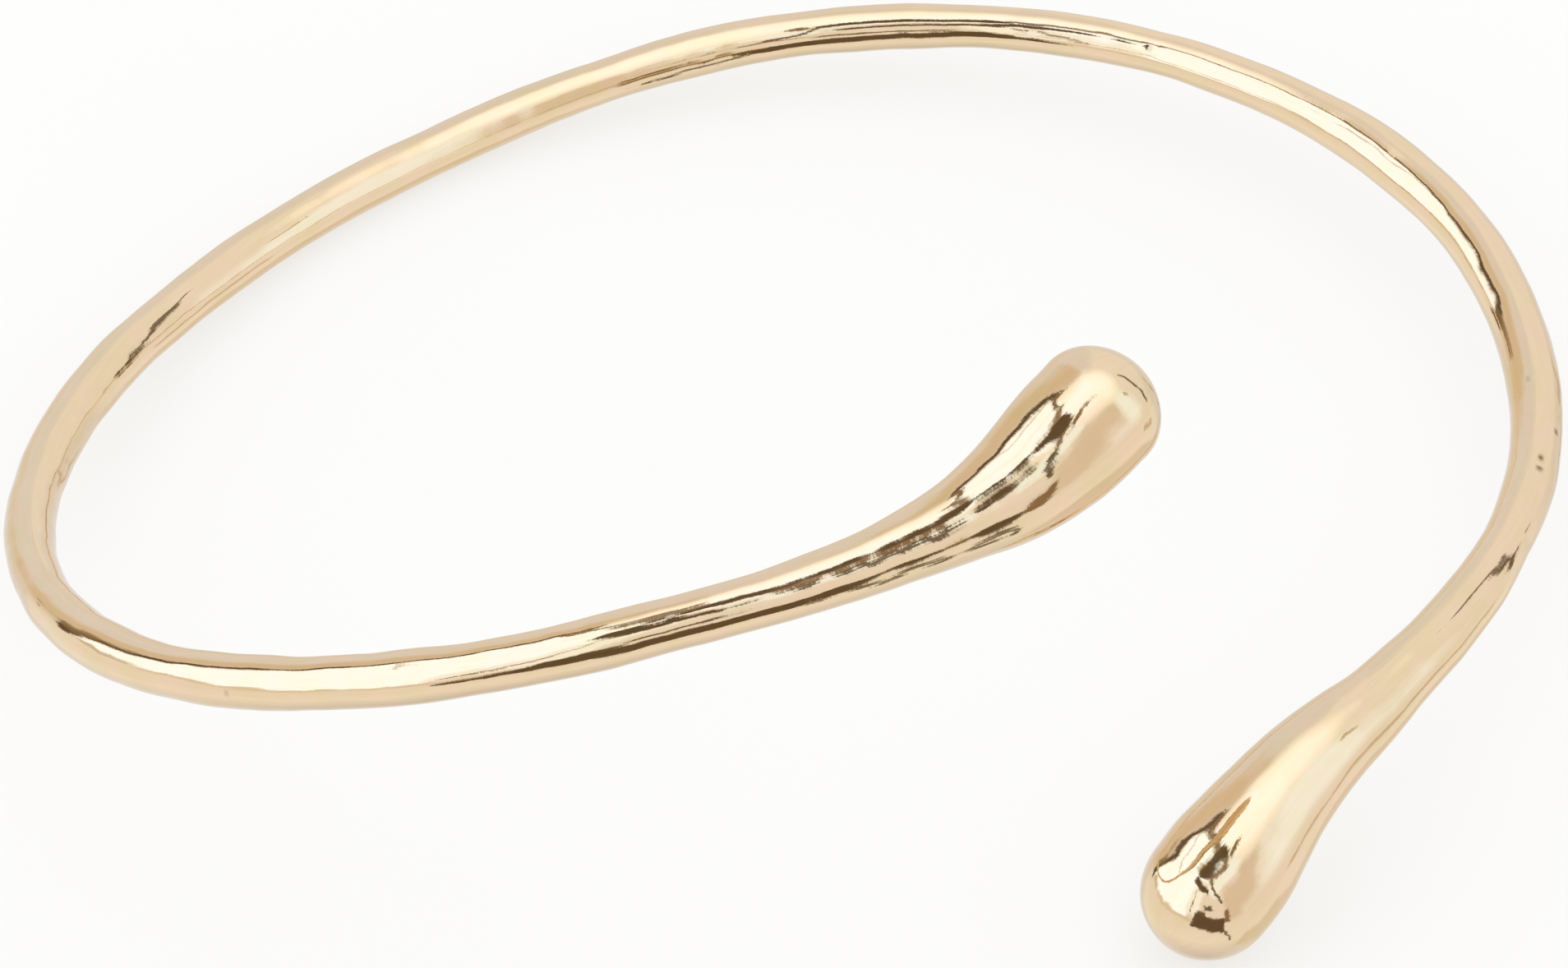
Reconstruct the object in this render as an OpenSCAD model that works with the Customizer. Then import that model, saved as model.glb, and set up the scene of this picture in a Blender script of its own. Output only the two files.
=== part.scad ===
// Open bypass bangle of one round wire that swells into a drop at each end.
// The wire goes once round the wrist and climbs, so that the ends pass one above the other.
// Millimetres, +Z up. The bangle rests on z = 0 as it settles by its own weight, and the
// origin lies under the middle of its bounding box. X runs along the oval's length.

/* [Loop] */
// Length of the oval that the wire's middle follows
loop_l = 64.5; // [56:0.5:74]
// Width of the oval, from the back to the side with the ends
loop_w = 55.5; // [48:0.5:64]
// Share of the climb from the low drop to the high drop
climb = 1; // [0.7:0.05:1.3]

/* [Wire] */
// Thickness of the wire
wire_d = 2.15; // [1.6:0.05:2.8]
// Thickness of the drops at their widest
drop_d = 5.4; // [4:0.1:6.6]

/* [Mesh] */
// Rings of points along the wire
rings = 150; // [110:10:160]
// Points round each ring
sides = 32; // [16:4:36]
// Rings of points on the round tip of each drop
tip_rings = 7; // [4:1:8]

/* [Hidden] */
gold = "#dcb97e";

// Stations along the wire, from the high end round the back to the low end.
// turn: degrees round the loop from the middle of the back
// bulge: how far the wire runs outside the oval, in percent
// rise: height over the middle of the back, in millimetres
// thick: thickness of the wire, as a share of wire_d
turn = 0;
bulge = 1;
rise = 2;
thick = 3;
stations = [
    [-172.5, -3.4, 11.4, 1.00],
    [-165, -2.0, 9.1, 1.00],
    [-154, -0.8, 7.0, 1.00],
    [-138, 0.4, 4.7, 1.00],
    [-118, 1.0, 1.3, 1.00],
    [-94, 0.8, -2.2, 1.02],
    [-66, -0.4, -3.8, 0.98],
    [-34, 0, -2.8, 1.00],
    [0, 0, 0, 0.95],
    [34, -0.6, 3.3, 0.91],
    [66, -1.2, 3.9, 0.88],
    [94, 1.2, 1.4, 1.07],
    [118, 2.0, -2.1, 1.05],
    [138, 1.2, -4.1, 0.95],
    [154, -1.2, -6.2, 0.93],
    [166, -2.8, -8.5, 0.93],
    [174, -3.4, -11.8, 0.93],
];

// Swelling from the wire to each drop.
// from_end: millimetres along the wire from the end of its middle line
// high, low: share of the swelling there, for the high drop and the low drop
from_end = 0;
high = 1;
low = 2;
swelling = [
    [0, 0.97, 1.09],
    [1.5, 0.96, 1.08],
    [3, 0.85, 0.96],
    [5, 0.64, 0.77],
    [7, 0.40, 0.61],
    [9, 0.25, 0.45],
    [11, 0.13, 0.31],
    [14, 0.04, 0.21],
    [18, 0, 0.11],
    [22, 0, 0],
];

// Reach of each round tip past the end of the middle line, as a share of its radius
high_tip = 0.9;
low_tip = 1.03;

// Steps in which the loose bangle settles, and how far it rocks in one step for each
// millimetre that its centre of mass lies beside the lowest point
settle_steps = 300;
rock = 0.0015;

function unit(v) = v / norm(v);
function sum(v, i = 0) = i == len(v) - 1 ? v[i] : v[i] + sum(v, i + 1);

// Row of table t that starts the span holding x
function span(t, x, i = 0) = i == len(t) - 2 || x < t[i + 1][0] ? i : span(t, x, i + 1);

// Slope of column c between rows i and i + 1
function rate(t, c, i) = (t[i + 1][c] - t[i][c]) / (t[i + 1][0] - t[i][0]);

// Slope of the smooth curve through column c at row i
function slope(t, c, i) =
    i == 0 ? rate(t, c, 0)
    : i == len(t) - 1 ? rate(t, c, i - 1)
    : let (before = t[i][0] - t[i - 1][0], after = t[i + 1][0] - t[i][0])
        (rate(t, c, i - 1) * after + rate(t, c, i) * before) / (before + after);

// Value of column c at x, on a smooth curve through the rows of table t
function smooth(t, c, x) =
    let (
        i = span(t, x),
        width = t[i + 1][0] - t[i][0],
        u = min(1, (x - t[i][0]) / width),
        step = u * u * (3 - 2 * u)
    )
    t[i][c] * (1 - step) + t[i + 1][c] * step
        + width * slope(t, c, i) * u * pow(1 - u, 2)
        - width * slope(t, c, i + 1) * pow(u, 2) * (1 - u);

// Distance from the middle of the oval to its line at angle a
function oval(a) = 1 / norm([sin(a) / (loop_l / 2), cos(a) / (loop_w / 2)]);

// Point of the wire's middle line at angle a
function middle(a) =
    let (reach = oval(a) * (1 + smooth(stations, bulge, a) / 100))
    [reach * sin(a), reach * cos(a), climb * smooth(stations, rise, a)];

first_turn = stations[0][turn];
last_turn = stations[len(stations) - 1][turn];
turns = [for (i = [0:rings]) first_turn + (last_turn - first_turn) * i / rings];
path = [for (a = turns) middle(a)];
along = [
    for (i = [0:rings]) unit(path[min(i + 1, rings)] - path[max(i - 1, 0)])
];

// Length of the middle line from the high end to each of its points
run = [
    for (i = 0, length = 0; i <= rings; i = i + 1, length = length + norm(path[min(i, rings)] - path[i - 1]))
        length
];

function swell(column, distance) =
    distance > swelling[len(swelling) - 1][from_end] ? 0 : smooth(swelling, column, distance);

radii = [
    for (i = [0:rings])
        wire_d / 2 * smooth(stations, thick, turns[i])
            + (drop_d - wire_d) / 2 * (swell(high, run[i]) + swell(low, run[rings] - run[i]))
];

// Centre of mass, from the volume of each short length of wire
volumes = [for (r = radii) r * r];
centre_of_mass = volumes * path / sum(volumes);

// Lowest point of the wire at ring i, or of the round tip there, for the upward direction up
function underside(i, up) =
    i == 0 || i == rings ? path[i] - radii[i] * up
    : path[i] - radii[i] * unit(up - (along[i] * up) * along[i]);

// Lowest point of the whole bangle
function lowest(up) =
    let (
        points = [for (i = [0:rings]) underside(i, up)],
        heights = points * up,
        at = search(min(heights), heights)[0]
    )
    points[at];

// Upward direction once the bangle has rocked about its lowest point until it lies still
function settle(up, steps_left) =
    steps_left == 0 ? up
    : let (
        arm = centre_of_mass - lowest(up),
        beside = arm - (arm * up) * up
    )
    settle(unit(up - rock * steps_left / settle_steps * beside), steps_left - 1);

up = settle([0, 0, 1], settle_steps);
length_way = unit([1, 0, 0] - up[0] * up);
width_way = cross(up, length_way);
function settled(p) = [p * length_way, p * width_way, p * up];

// Ring of points of radius r round centre c, across the direction t
function ring(c, t, r) =
    let (side = unit(cross(t, [0, 0, 1])), top = cross(side, t))
    [
        for (k = [0:sides - 1])
            settled(c + r * (cos(360 * k / sides) * side + sin(360 * k / sides) * top))
    ];

// Rings of a round tip at point i that reaches out along the direction out
function tip_ring(i, out, reach, a) =
    ring(path[i] + reach * radii[i] * sin(a) * out, along[i], radii[i] * cos(a));

tip_angles = [for (k = [1:tip_rings]) 90 * k / (tip_rings + 1)];
high_rings = [
    for (k = [tip_rings - 1:-1:0]) tip_ring(0, -along[0], high_tip, tip_angles[k])
];
wire_rings = [for (i = [0:rings]) ring(path[i], along[i], radii[i])];
low_rings = [for (a = tip_angles) tip_ring(rings, along[rings], low_tip, a)];
all_rings = concat(high_rings, wire_rings, low_rings);
high_point = settled(path[0] - high_tip * radii[0] * along[0]);
low_point = settled(path[rings] + low_tip * radii[rings] * along[rings]);
skin = concat([for (r = all_rings) each r], [high_point, low_point]);

low_corner = [for (axis = [0:2]) min([for (p = skin) p[axis]])];
high_corner = [for (axis = [0:2]) max([for (p = skin) p[axis]])];
origin = [
    (low_corner[0] + high_corner[0]) / 2,
    (low_corner[1] + high_corner[1]) / 2,
    low_corner[2],
];

// Faces between the rings, and a fan from each end ring to its end point
ring_count = len(all_rings);
high_index = ring_count * sides;
low_index = high_index + 1;
last_ring = (ring_count - 1) * sides;
function next_side(k) = (k + 1) % sides;
wall_faces = [
    for (i = [0:ring_count - 2], k = [0:sides - 1])
        let (a = i * sides + k, b = i * sides + next_side(k))
        each [[a, b + sides, a + sides], [a, b, b + sides]]
];
tip_faces = [
    for (k = [0:sides - 1])
        each [
            [high_index, next_side(k), k],
            [low_index, last_ring + k, last_ring + next_side(k)],
        ]
];

module bangle() {
    color(gold)
        translate(-origin)
            polyhedron(points = skin, faces = concat(wall_faces, tip_faces), convexity = 8);
}

bangle();
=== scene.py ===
import math
import random

import bpy
import numpy as np
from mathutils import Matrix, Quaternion, Vector


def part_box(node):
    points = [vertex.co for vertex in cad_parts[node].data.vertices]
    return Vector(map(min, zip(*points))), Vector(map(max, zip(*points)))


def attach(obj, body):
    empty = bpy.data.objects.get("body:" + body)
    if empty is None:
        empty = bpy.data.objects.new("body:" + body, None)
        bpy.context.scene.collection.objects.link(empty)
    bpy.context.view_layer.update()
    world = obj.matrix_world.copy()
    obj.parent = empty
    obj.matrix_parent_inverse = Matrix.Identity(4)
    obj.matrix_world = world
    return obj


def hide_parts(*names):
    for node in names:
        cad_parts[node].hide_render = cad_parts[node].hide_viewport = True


# Looks of the open bypass bangle: its finely finished skin, its gold, the studio and the
# camera. Lengths are in metres unless a name or comment says mm, and angles in degrees.

MM = 0.001

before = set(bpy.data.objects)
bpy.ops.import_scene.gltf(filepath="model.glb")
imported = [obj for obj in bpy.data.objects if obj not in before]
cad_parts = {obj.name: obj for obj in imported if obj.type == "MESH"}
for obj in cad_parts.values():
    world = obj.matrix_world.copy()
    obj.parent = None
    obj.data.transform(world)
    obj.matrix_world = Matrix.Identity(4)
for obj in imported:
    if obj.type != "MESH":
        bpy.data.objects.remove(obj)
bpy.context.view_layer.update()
cad_low, cad_high = map(np.array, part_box("bangle"))

# Camera of the photograph: 44 degrees above the table and almost level
CAMERA_AT = Vector((-0.197603, -0.296689, 0.350628))
LOOK_AT = Vector((0.000553, 0.002331, 0.002316))
CAMERA_ROLL = 0.781
CAMERA_LENS = 275.8
SENSOR_WIDTH = 36.0
NEAREST_SEEN = 0.01
FURTHEST_SEEN = 20

# Size of the bangle, as in part.scad
LOOP_LENGTH_MM = 64.5
LOOP_WIDTH_MM = 55.5
WIRE_MM = 2.15
DROP_MM = 5.4

# Stations along the wire, from the high end round the back to the low end:
# turn round the loop, bulge over the oval in percent, rise in mm, thickness as a share
STATIONS = np.array([
    (-172.5, -3.4, 11.4, 1.00),
    (-165, -2.0, 9.1, 1.00),
    (-154, -0.8, 7.0, 1.00),
    (-138, 0.4, 4.7, 1.00),
    (-118, 1.0, 1.3, 1.00),
    (-94, 0.8, -2.2, 1.02),
    (-66, -0.4, -3.8, 0.98),
    (-34, 0, -2.8, 1.00),
    (0, 0, 0, 0.95),
    (34, -0.6, 3.3, 0.91),
    (66, -1.2, 3.9, 0.88),
    (94, 1.2, 1.4, 1.07),
    (118, 2.0, -2.1, 1.05),
    (138, 1.2, -4.1, 0.95),
    (154, -1.2, -6.2, 0.93),
    (166, -2.8, -8.5, 0.93),
    (174, -3.4, -11.8, 0.93),
])
TURN, BULGE, RISE, THICK = STATIONS.T

# Swelling to each drop: mm from the end, share at the high drop, share at the low drop
SWELLING = np.array([
    (0, 0.97, 1.09),
    (1.5, 0.96, 1.08),
    (3, 0.85, 0.96),
    (5, 0.64, 0.77),
    (7, 0.40, 0.61),
    (9, 0.25, 0.45),
    (11, 0.13, 0.31),
    (14, 0.04, 0.21),
    (18, 0, 0.11),
    (22, 0, 0),
])
FROM_END, HIGH_SWELL, LOW_SWELL = SWELLING.T
HIGH_TIP = 0.9
LOW_TIP = 1.03

# Rocking to rest, as in part.scad
SETTLE_RINGS = 150
SETTLE_STEPS = 300
ROCK = 0.0015

# Rings and points of the skin
RINGS = 1150
SIDES = 78
TIP_RINGS = 26

# Ripples that the hand finishing left in the skin: wavelength in mm, height in mm, waves
RIPPLES = [
    (7.0, 0.022, 12),
    (3.0, 0.009, 18),
    (1.2, 0.0024, 24),
]
RIPPLE_SEED = 11

# Pits in the skin, as the camera sees them: mm along the wire from the high end, share of
# the radius across it, half length and half width in mm, depth in mm, how much darker inside
PITS = [
    (155.0, 0.16, 0.16, 0.14, 0.02, 0.4),
    (158.55, -0.76, 0.26, 0.16, 0.04, 0.9),
    (160.3, -0.24, 0.26, 0.17, 0.05, 1.0),
    (161.05, -0.25, 0.17, 0.24, 0.05, 1.0),
    (127.15, -0.10, 0.20, 0.20, 0.03, 0.3),
    (38.65, -0.46, 0.14, 0.20, 0.02, 0.3),
]
# Form of every pit, in shares of its half size: where it ends, how fast the hollow, the
# raised rim and the darkening fade, and where and how high the rim stands
PIT_END = 2
HOLLOW_FADE = 2
RIM_FADE = 8
PIT_DARK_FADE = 1.4
RIM_AT = 1.2
RIM_HEIGHT = 0.35

# Rings of the smooth wire on which the pits are placed, and how many of them are tried on
# either side of a pit
SMOOTH_RINGS = 9000
RINGS_TRIED = 260

# Gold: its colours, and its noises as scale, detail and roughness of the noise
ROSY_GOLD = (0.81, 0.600, 0.395)
YELLOW_GOLD = (0.775, 0.600, 0.362)
LIGHT_GOLD = (0.83, 0.640, 0.425)
# Colour towards which the inside of the pits is darkened
PIT_DARK_COLOUR = (0.16, 0.085, 0.035)
TONE_NOISE = (0.6, 3.0, 0.5)
STREAK_NOISE = (1.0, 3.0, 0.6)
FINE_NOISE = (3.2, 3.0, 0.55)
# Streaks for each mm along the wire, and round it
STREAKS_ALONG = 0.35
STREAKS_ROUND = 48.0
# Ramps: from and to in the noise, then what they become
TONE_RAMP = (0.35, 0.65, 0.0, 1.0)
LIGHT_RAMP = (0.35, 0.7, 0.0, 0.5)
ROUGHNESS_RAMP = (0.35, 0.75, 0.035, 0.09)
STREAK_BUMP = 0.35
FINE_BUMP = 0.65
BUMP_MM = 0.0045

# Floor: half its size, its two tones, the glow that lifts it to the photo's white
FLOOR_HALF = 3.0
FLOOR_TONES = ((0.250, 0.2495, 0.248), (0.255, 0.2545, 0.253))
FLOOR_NOISE = (30.0, 2.0, 0.5)
FLOOR_RAMP = (0.3, 0.7)
FLOOR_ROUGHNESS = 0.9
FLOOR_GLOW = (1.0, 0.995, 0.985, 1.0)
FLOOR_GLOW_STRENGTH = 0.672

# Studio round the bangle, far away. Its light by elevation, then panels laid over it in turn.
# Azimuth runs from the photo camera's side towards the photo's right.
SKY = [
    (-90, (0.73, 0.75, 0.80)),
    (-45, (1.03, 1.06, 1.10)),
    (-5, (0.98, 1.00, 1.03)),
    (15, (0.99, 1.01, 1.06)),
    (50, (1.02, 1.06, 1.12)),
    (60, (1.25, 1.30, 1.35)),
    (68, (1.32, 1.48, 1.66)),
    (90, (1.40, 1.58, 1.78)),
]
# A colour ramp holds no more than 1, so the sky is kept in this unit
SKY_UNIT = 4.0
# Light on all that isn't polished
SOFT_LIGHT = (1.27, 1.275, 1.28)
SOFTBOX = (1.32, 1.60, 2.04)
MILKY = (1.16, 1.39, 1.63)
HAZY = (1.20, 1.36, 1.55)
BLUISH = (0.88, 0.92, 1.02)
GREY = (0.86, 0.87, 0.89)
SAND = (0.84, 0.80, 0.73)
TAN = (0.80, 0.71, 0.57)
FAINT = (0.66, 0.57, 0.44)
UMBER = (0.30, 0.22, 0.13)
DARK = (0.15, 0.11, 0.065)

# How finely the edges of the panels waver, and how far in degrees
EDGE_NOISE = (7.0, 2.0, 0.5)
EDGE_REACH = 10.0

# Panels: azimuth and elevation of the middle, half width and half height, tilt, half soft
# edge, light and share
PANELS = [
    (-158, -36, 26, 26, 0, 8, GREY, 1.0),
    (170, -30, 45, 26, 0, 8, GREY, 1.0),
    (115, -52, 55, 10, 0, 5, SAND, 0.9),
    (-160, -12, 22, 16, 0, 8, SAND, 0.8),
    (-150, 25, 28, 30, 0, 12, BLUISH, 1.0),
    (-137, 20, 9, 34, 0, 6, TAN, 0.9),
    (76, 30, 20, 28, 0, 12, MILKY, 0.8),
    (36, 22, 12, 28, 0, 6, SAND, 0.9),
    (97, -20, 12, 3, -8, 2, FAINT, 0.8),
    (-78, 27, 41, 31, 0, 3, SOFTBOX, 1.0),
    (-60, -6, 36, 3, 0, 2, SAND, 0.8),
    (-27, 25, 12, 22, 0, 4, HAZY, 1.0),
    (-60, 61, 55, 3, 0, 2, SOFTBOX, 1.0),
    (8, 50, 12, 14, -40, 4, MILKY, 0.9),
    (-75, 77, 60, 7, 0, 4, SOFTBOX, 0.7),
    (-124, 22, 3.6, 34, 0, 1.5, DARK, 1.0),
    (-127, 4, 5, 9, 0, 3, UMBER, 0.9),
    (-108, -4, 8, 3, 0, 2, FAINT, 0.8),
    (-105, 42, 18, 1.0, 0, 0.8, FAINT, 0.7),
    (-114, 57, 13, 2.4, 25, 1.5, UMBER, 1.0),
    (-78, 67, 27, 3.0, 2, 2, UMBER, 0.95),
    (-31, 67.5, 26, 6, -3, 1.8, DARK, 1.0),
    (0, 57, 10, 2.4, -51, 1.5, UMBER, 1.0),
    (12, 38, 15, 2.2, -55, 1.2, DARK, 0.95),
    (-27, 50.5, 24, 4.8, -17, 1.8, DARK, 1.0),
    (7, 68, 6, 7, -25, 2, UMBER, 1.0),
    (-31, 25, 1.1, 19, 0, 0.9, UMBER, 0.9),
    (-2, 18, 7, 4, 0, 1.5, DARK, 0.95),
    (-13, 2, 7, 10, 0, 1.5, DARK, 0.95),
    (-1, -8, 25, 12, -10, 2, DARK, 1.0),
    (9, -18, 12, 7, -12, 2, DARK, 1.0),
    (28, 2, 4, 11, 8, 1.5, UMBER, 1.0),
    (29, -31, 17, 2.0, -57, 1.2, DARK, 0.9),
    (119, 8, 2.2, 13, -8, 1.2, DARK, 0.95),
    (129, 31, 2.2, 14, -34, 1.2, DARK, 0.9),
    (95, 39, 3, 5, 30, 1.5, FAINT, 0.9),
    (145, -25, 1.6, 15, 8, 1.2, FAINT, 0.9),
]


def unit(v):
    return v / np.linalg.norm(v, axis=-1, keepdims=True)


def curve(x, knots, values):
    """Smooth curve through the knots, as in part.scad."""
    width = np.diff(knots)
    rate = np.diff(values) / width
    inner = (rate[:-1] * width[1:] + rate[1:] * width[:-1]) / (width[:-1] + width[1:])
    slope = np.concatenate([rate[:1], inner, rate[-1:]])
    i = np.clip(np.searchsorted(knots, x, side="right") - 1, 0, len(knots) - 2)
    u = np.minimum(1, (x - knots[i]) / width[i])
    step = u * u * (3 - 2 * u)
    bend = slope[i] * u * (1 - u) ** 2 - slope[i + 1] * u**2 * (1 - u)
    return values[i] * (1 - step) + values[i + 1] * step + width[i] * bend


def swell(distance, share):
    last = FROM_END[-1]
    return np.where(distance > last, 0, curve(np.minimum(distance, last), FROM_END, share))


def wire(rings):
    """Middle line, its direction, length so far and radius at each ring, in mm."""
    a = np.linspace(TURN[0], TURN[-1], rings + 1)
    s, c = np.sin(np.radians(a)), np.cos(np.radians(a))
    reach = 1 / np.hypot(s / (LOOP_LENGTH_MM / 2), c / (LOOP_WIDTH_MM / 2))
    reach = reach * (1 + curve(a, TURN, BULGE) / 100)
    path = np.column_stack([reach * s, reach * c, curve(a, TURN, RISE)])
    i = np.arange(rings + 1)
    along = unit(path[np.minimum(i + 1, rings)] - path[np.maximum(i - 1, 0)])
    steps = np.linalg.norm(np.diff(path, axis=0), axis=1)
    run = np.concatenate([[0], np.cumsum(steps)])
    swelling = swell(run, HIGH_SWELL) + swell(run[-1] - run, LOW_SWELL)
    radius = WIRE_MM / 2 * curve(a, TURN, THICK) + (DROP_MM - WIRE_MM) / 2 * swelling
    return path, along, run, radius


def rest_axes():
    """Rows that turn the loop's own axes into those of the bangle at rest."""
    path, along, run, radius = wire(SETTLE_RINGS)
    weight = radius**2
    middle = (weight[:, None] * path).sum(0) / weight.sum()
    up = np.array([0.0, 0.0, 1.0])
    for left in range(SETTLE_STEPS, 0, -1):
        under = path - radius[:, None] * unit(up - (along @ up)[:, None] * along)
        under[0] = path[0] - radius[0] * up
        under[-1] = path[-1] - radius[-1] * up
        arm = middle - under[(under @ up).argmin()]
        beside = arm - (arm @ up) * up
        up = unit(up - ROCK * left / SETTLE_STEPS * beside)
    length_way = unit(np.array([1.0, 0.0, 0.0]) - up[0] * up)
    return np.array([length_way, np.cross(up, length_way), up])


def ripple(points):
    """Height of the hand-finished ripples at points in mm."""
    chance = random.Random(RIPPLE_SEED)
    height = np.zeros(len(points))
    for wavelength, size, waves in RIPPLES:
        for _ in range(waves):
            way = Vector([chance.gauss(0, 1) for _ in range(3)]).normalized()
            phase = chance.uniform(0, 2 * math.pi)
            turn = points @ np.array(way) * (2 * math.pi / wavelength) + phase
            height += size * math.sqrt(2 / waves) * np.sin(turn)
    return height


def skin():
    """Points in mm, ring by ring and then both end points, and the mm along of each ring."""
    path, along, run, radius = wire(RINGS)
    lift = np.radians(90) * np.arange(1, TIP_RINGS + 1) / (TIP_RINGS + 1)
    centres = [path]
    ways = [along]
    radii = [radius]
    runs = [run]
    for i, reach, sign in ((0, HIGH_TIP, -1), (-1, LOW_TIP, 1)):
        out = sign * along[i]
        far = reach * radius[i] * np.sin(lift)
        tip = (path[i] + far[:, None] * out, np.repeat(along[i][None], TIP_RINGS, 0),
               radius[i] * np.cos(lift), run[i] + sign * far)
        order = slice(None, None, sign)
        place = 0 if sign < 0 else len(centres)
        for kept, part in zip((centres, ways, radii, runs), tip):
            kept.insert(place, part[order])
    centres, ways, radii, runs = map(np.concatenate, (centres, ways, radii, runs))
    side = unit(np.cross(ways, [0, 0, 1]))
    top = np.cross(side, ways)
    around = np.radians(360) * np.arange(SIDES) / SIDES
    out = (np.cos(around)[None, :, None] * side[:, None]
           + np.sin(around)[None, :, None] * top[:, None])
    points = (centres[:, None] + radii[:, None, None] * out).reshape(-1, 3)
    points += ripple(points)[:, None] * out.reshape(-1, 3)
    ends = np.array([path[0] - HIGH_TIP * radius[0] * along[0],
                     path[-1] + LOW_TIP * radius[-1] * along[-1]])
    return np.vstack([points, ends]), runs


class Rest:
    """How points in mm of the loop come to lie in the place of the CAD solid."""

    def __init__(self, points):
        self.turned = rest_axes().T
        turned = points @ self.turned * MM
        low, high = turned.min(0), turned.max(0)
        self.shrink = min(1.0, ((cad_high - cad_low) / (high - low)).min())
        middle = (cad_high + cad_low) / 2
        self.foot = np.array([(low[0] + high[0]) / 2, (low[1] + high[1]) / 2, low[2]])
        self.place = np.array([middle[0], middle[1], cad_low[2]])

    def lay(self, points):
        return (points @ self.turned * MM - self.foot) * self.shrink + self.place


def seen_spot(path, along, radius, i, share):
    """Place that the camera sees near ring i at a share of the radius across the wire."""
    eye = np.array(CAMERA_AT)
    across = unit(np.cross(along[i], eye - path[i]))
    sight = unit(path[i] + share * radius[i] * across - eye)
    part = slice(max(0, i - RINGS_TRIED), i + RINGS_TRIED)
    near = path[part] - eye
    forward = near @ sight
    inside = radius[part] ** 2 - ((near**2).sum(-1) - forward**2)
    reach = np.where(inside > 0, forward - np.sqrt(np.abs(inside)), np.inf)
    return eye + reach.min() * sight


def press_pits(points, rest):
    """Press the pits into the points, in place, and return how much darker each point is
    made.
    """
    path, along, run, radius = wire(SMOOTH_RINGS)
    path, along, radius = rest.lay(path), along @ rest.turned, radius * MM * rest.shrink
    pit_darkness = np.zeros(len(points))
    for s, share, long, wide, depth, dark_share in PITS:
        i = int(np.searchsorted(run, s))
        spot = seen_spot(path, along, radius, i, share)
        inward = unit(path[i] - spot)
        across = unit(np.cross(along[i], inward))
        beside = (points - spot) / MM
        size = np.hypot(beside @ along[i] / long, beside @ across / wide)
        near = (beside @ inward < WIRE_MM / 2) & (size < PIT_END)
        hollow = np.where(near, np.exp(-HOLLOW_FADE * size**2), 0)
        rim = np.where(near, np.exp(-RIM_FADE * (size - RIM_AT) ** 2), 0)
        points += (depth * (hollow - RIM_HEIGHT * rim))[:, None] * MM * inward
        dark_fade = np.clip(PIT_DARK_FADE - PIT_DARK_FADE * size, 0, 1)
        pit_darkness = np.maximum(pit_darkness, dark_share * np.where(near, dark_fade, 0))
    return pit_darkness


def skin_faces(rows):
    """Quads between the rings, then a fan of triangles at each end."""
    k = np.arange(SIDES)
    after = (k + 1) % SIDES
    i = np.arange(rows - 1)[:, None] * SIDES
    quads = np.stack([i + k, i + after, i + SIDES + after, i + SIDES + k], -1).reshape(-1, 4)
    high_end, low_end = rows * SIDES, rows * SIDES + 1
    last = (rows - 1) * SIDES
    first_fan = np.stack([after, k, np.full(SIDES, high_end)], -1)
    last_fan = np.stack([last + k, last + after, np.full(SIDES, low_end)], -1)
    return quads.tolist() + first_fan.tolist() + last_fan.tolist()


def skin_uv(runs):
    """Place along and around the wire for each corner, in the order of the faces."""
    share = (runs - runs[0]) / (runs[-1] - runs[0])
    step = 1 / SIDES
    around = np.arange(SIDES) / SIDES
    u = np.repeat(share[:-1], SIDES)
    u_next = np.repeat(share[1:], SIDES)
    v = np.tile(around, len(runs) - 1)
    v_next = v + step
    wall = np.stack([u, v, u, v_next, u_next, v_next, u_next, v], -1)
    zero, one = np.zeros(SIDES), np.ones(SIDES)
    first = np.stack([zero, around + step, zero, around, zero, around + step / 2], -1)
    last = np.stack([one, around, one, around + step, one, around + step / 2], -1)
    return np.concatenate([wall.reshape(-1), first.reshape(-1), last.reshape(-1)])


def make_bangle():
    points, runs = skin()
    rest = Rest(points)
    points = rest.lay(points)
    pit_darkness = press_pits(points, rest)
    mesh = bpy.data.meshes.new("bangle_skin")
    mesh.from_pydata(points.tolist(), [], skin_faces(len(runs)))
    mesh.attributes.new("pit_darkness", "FLOAT", "POINT").data.foreach_set("value", pit_darkness)
    mesh.uv_layers.new(name="along_around").data.foreach_set("uv", skin_uv(runs))
    mesh.polygons.foreach_set("use_smooth", [True] * len(mesh.polygons))
    mesh.update()
    piece = bpy.data.objects.new("bangle_skin", mesh)
    piece.data.materials.append(gold_material(runs[-1] - runs[0]))
    bpy.context.collection.objects.link(piece)
    return piece


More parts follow.
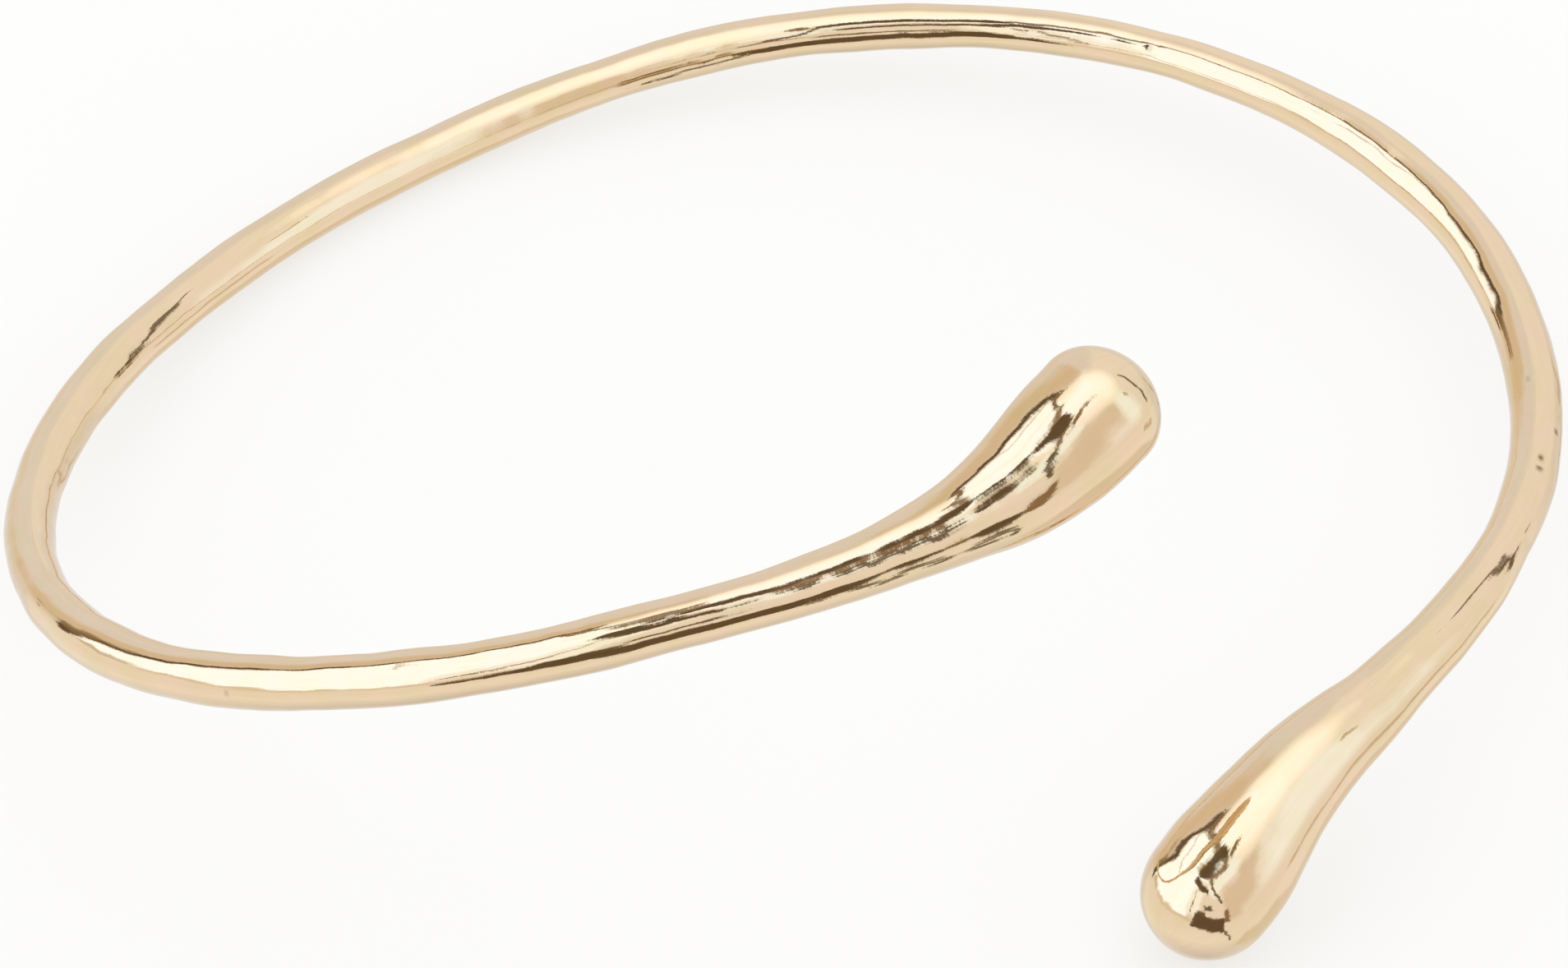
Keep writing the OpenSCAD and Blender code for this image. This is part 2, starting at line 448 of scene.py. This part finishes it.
class Nodes:
    """Short calls that add nodes to one node tree."""

    def __init__(self, tree):
        self.tree = tree
        tree.nodes.clear()

    def add(self, kind, **settings):
        node = self.tree.nodes.new(kind)
        for name, value in settings.items():
            setattr(node, name, value)
        return node

    def feed(self, socket, value):
        if isinstance(value, bpy.types.NodeSocket):
            self.tree.links.new(value, socket)
        else:
            socket.default_value = value

    def maths(self, operation, *values):
        node = self.add("ShaderNodeMath", operation=operation)
        for socket, value in zip(node.inputs, values):
            self.feed(socket, value)
        return node.outputs[0]

    def vector(self, operation, *values, scale=None):
        node = self.add("ShaderNodeVectorMath", operation=operation)
        for socket, value in zip(node.inputs, values):
            self.feed(socket, value)
        if scale is not None:
            self.feed(node.inputs["Scale"], scale)
        return node.outputs["Value" if operation == "DOT_PRODUCT" else "Vector"]

    def noise(self, place, scale, detail, rough, output="Fac"):
        node = self.add("ShaderNodeTexNoise")
        self.feed(node.inputs["Vector"], place)
        self.feed(node.inputs["Scale"], scale)
        self.feed(node.inputs["Detail"], detail)
        self.feed(node.inputs["Roughness"], rough)
        return node.outputs[output]

    def ramp(self, value, start, end, low=0.0, high=1.0):
        node = self.add("ShaderNodeMapRange", interpolation_type="SMOOTHSTEP")
        for name, given in (("Value", value), ("From Min", start), ("From Max", end),
                            ("To Min", low), ("To Max", high)):
            self.feed(node.inputs[name], given)
        return node.outputs["Result"]

    def blend(self, amount, first, second):
        node = self.add("ShaderNodeMix", data_type="RGBA")
        self.feed(node.inputs["Factor"], amount)
        for name, value in (("A", first), ("B", second)):
            socket = next(s for s in node.inputs if s.name == name and s.type == "RGBA")
            if isinstance(value, tuple):
                value = (*value, 1.0)
            self.feed(socket, value)
        return next(s for s in node.outputs if s.type == "RGBA")


def new_material(name):
    """A new material, its nodes and its shader, which already feeds the surface."""
    material = bpy.data.materials.new(name)
    material.use_nodes = True
    n = Nodes(material.node_tree)
    shader = n.add("ShaderNodeBsdfPrincipled")
    out = n.add("ShaderNodeOutputMaterial")
    n.feed(out.inputs["Surface"], shader.outputs["BSDF"])
    return material, n, shader


def gold_material(length_mm):
    material, n, shader = new_material("pale_gold_plate")
    place = n.add("ShaderNodeTexCoord").outputs["Object"]
    uv = n.add("ShaderNodeUVMap", uv_map="along_around").outputs["UV"]
    mm = n.vector("SCALE", place, scale=1 / MM)
    shader.inputs["Metallic"].default_value = 1.0

    streak_place = n.vector("MULTIPLY", uv, (length_mm * STREAKS_ALONG, STREAKS_ROUND, 1.0))
    streak = n.noise(streak_place, *STREAK_NOISE)
    tone = n.ramp(n.noise(mm, *TONE_NOISE), *TONE_RAMP)
    colour = n.blend(tone, ROSY_GOLD, YELLOW_GOLD)
    colour = n.blend(n.ramp(streak, *LIGHT_RAMP), colour, LIGHT_GOLD)
    # The inside of the pits is darker
    pit_darkness = n.add("ShaderNodeAttribute", attribute_name="pit_darkness").outputs["Fac"]
    n.feed(shader.inputs["Base Color"], n.blend(pit_darkness, colour, PIT_DARK_COLOUR))
    n.feed(shader.inputs["Roughness"], n.ramp(streak, *ROUGHNESS_RAMP))

    fine = n.noise(mm, *FINE_NOISE)
    height = n.maths("ADD", n.maths("MULTIPLY", streak, STREAK_BUMP),
                     n.maths("MULTIPLY", fine, FINE_BUMP))
    bump = n.add("ShaderNodeBump")
    bump.inputs["Strength"].default_value = 1.0
    bump.inputs["Distance"].default_value = BUMP_MM * MM
    n.feed(bump.inputs["Height"], height)
    n.feed(shader.inputs["Normal"], bump.outputs["Normal"])
    return material


def floor_material():
    material, n, shader = new_material("white_floor")
    place = n.add("ShaderNodeTexCoord").outputs["Object"]
    tone = n.ramp(n.noise(place, *FLOOR_NOISE), *FLOOR_RAMP)
    n.feed(shader.inputs["Base Color"], n.blend(tone, *FLOOR_TONES))
    shader.inputs["Roughness"].default_value = FLOOR_ROUGHNESS
    shader.inputs["Specular IOR Level"].default_value = 0.0
    shader.inputs["Emission Color"].default_value = FLOOR_GLOW
    shader.inputs["Emission Strength"].default_value = FLOOR_GLOW_STRENGTH
    return material


def sky_light(n, up):
    """Light of the bare studio, for the height of a direction."""
    sky = n.add("ShaderNodeValToRGB")
    stops = sky.color_ramp.elements
    for elevation, _ in SKY[1:-1]:
        stops.new((elevation + 90) / 180)
    for stop, (_, light) in zip(stops, SKY):
        stop.color = (*(c / SKY_UNIT for c in light), 1.0)
    share = n.maths("MULTIPLY_ADD", n.maths("ARCSINE", up), 1 / math.pi, 0.5)
    n.feed(sky.inputs["Fac"], share)
    return n.vector("SCALE", sky.outputs["Color"], scale=SKY_UNIT)


def make_studio():
    world = bpy.data.worlds.new("studio")
    world.use_nodes = True
    bpy.context.scene.world = world
    n = Nodes(world.node_tree)
    way = n.vector("NORMALIZE", n.add("ShaderNodeTexCoord").outputs["Generated"])
    turn = math.atan2(CAMERA_AT.y, CAMERA_AT.x)
    front = n.vector("DOT_PRODUCT", way, (math.cos(turn), math.sin(turn), 0))
    right = n.vector("DOT_PRODUCT", way, (-math.sin(turn), math.cos(turn), 0))
    up = n.vector("DOT_PRODUCT", way, (0, 0, 1))
    spot = n.add("ShaderNodeCombineXYZ")
    n.feed(spot.inputs["X"], n.maths("DEGREES", n.maths("ARCTAN2", right, front)))
    n.feed(spot.inputs["Y"], n.maths("DEGREES", n.maths("ARCSINE", up)))
    waver = n.vector("SUBTRACT", n.noise(way, *EDGE_NOISE, output="Color"), (0.5, 0.5, 0.5))
    spot = n.vector("ADD", spot.outputs["Vector"], n.vector("SCALE", waver, scale=EDGE_REACH))

    colour = sky_light(n, up)
    for az, el, wide, high, tilt, soft, light, amount in PANELS:
        c, s = math.cos(math.radians(tilt)), math.sin(math.radians(tilt))
        beside = n.vector("SUBTRACT", spot, (az, el, 0))
        across = n.maths("ABSOLUTE", n.vector("DOT_PRODUCT", beside, (c, s, 0)))
        upward = n.maths("ABSOLUTE", n.vector("DOT_PRODUCT", beside, (-s, c, 0)))
        inside = n.maths("MULTIPLY", n.ramp(across, wide - soft, wide + soft, 1, 0),
                         n.ramp(upward, high - soft, high + soft, amount, 0))
        colour = n.blend(inside, colour, light)
    seen = n.add("ShaderNodeBackground")
    n.feed(seen.inputs["Color"], colour)
    soft_light = n.add("ShaderNodeBackground")
    soft_light.inputs["Color"].default_value = (*SOFT_LIGHT, 1.0)
    either = n.add("ShaderNodeMixShader")
    n.feed(either.inputs["Fac"], n.add("ShaderNodeLightPath").outputs["Is Glossy Ray"])
    n.feed(either.inputs[1], soft_light.outputs["Background"])
    n.feed(either.inputs[2], seen.outputs["Background"])
    out = n.add("ShaderNodeOutputWorld")
    n.feed(out.inputs["Surface"], either.outputs["Shader"])
    world.cycles.sampling_method = "NONE"


def make_floor():
    """Pale floor. The polish doesn't show it, but the studio's lower half in its place."""
    half = FLOOR_HALF
    mesh = bpy.data.meshes.new("floor")
    corners = [(-half, -half, 0), (half, -half, 0), (half, half, 0), (-half, half, 0)]
    mesh.from_pydata(corners, [], [(0, 1, 2, 3)])
    floor = bpy.data.objects.new("floor", mesh)
    floor.data.materials.append(floor_material())
    bpy.context.collection.objects.link(floor)
    floor.visible_glossy = False


def make_camera():
    data = bpy.data.cameras.new("camera")
    data.sensor_width = SENSOR_WIDTH
    data.lens = CAMERA_LENS
    data.clip_start = NEAREST_SEEN
    data.clip_end = FURTHEST_SEEN
    camera = bpy.data.objects.new("camera", data)
    camera.location = CAMERA_AT
    aim = (LOOK_AT - CAMERA_AT).to_track_quat("-Z", "Y")
    camera.rotation_mode = "QUATERNION"
    camera.rotation_quaternion = aim @ Quaternion((0, 0, 1), math.radians(CAMERA_ROLL))
    bpy.context.collection.objects.link(camera)
    bpy.context.scene.camera = camera


make_camera()
make_studio()
make_floor()
bangle = make_bangle()
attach(bangle, "root")
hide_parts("bangle")
bpy.context.scene.view_settings.view_transform = "Standard"
